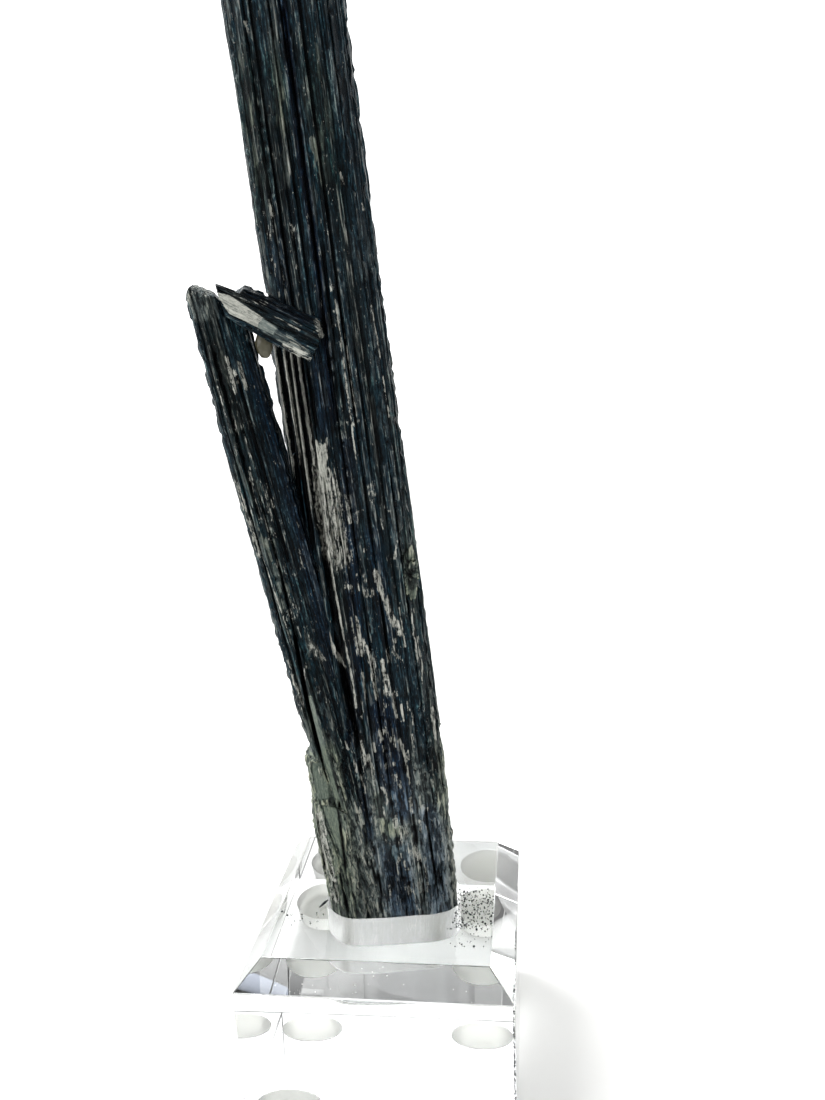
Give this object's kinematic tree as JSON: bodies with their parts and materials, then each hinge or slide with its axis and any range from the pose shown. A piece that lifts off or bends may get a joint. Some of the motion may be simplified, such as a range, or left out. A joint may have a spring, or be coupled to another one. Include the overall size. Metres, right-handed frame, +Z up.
{
  "type": "stibnite crystal specimen",
  "caption": "Tall striated stibnite crystal with a leaning side crystal and a short crystal across the gap, its foot set in the pocket of a clear chamfered acrylic block on bumper feet.",
  "frame": {"origin": "middle of the whole object's footprint, on the surface that the feet stand on", "axes": "+Z up along the crystals, -Y the front of the block, +X to the right of a person who looks at the front"},
  "size_m": [0.0528, 0.0508, 0.2307],
  "materials": {
    "stibnite": "satin",
    "acrylic": "polished",
    "silicone": "gloss"
  },
  "bodies": {
    "root": {"stibnite_cluster": "stibnite", "acrylic_block": "acrylic", "foot_front_left": "silicone", "foot_front_right": "silicone", "foot_rear_left": "silicone", "foot_rear_right": "silicone"}
  },
  "joints": []
}
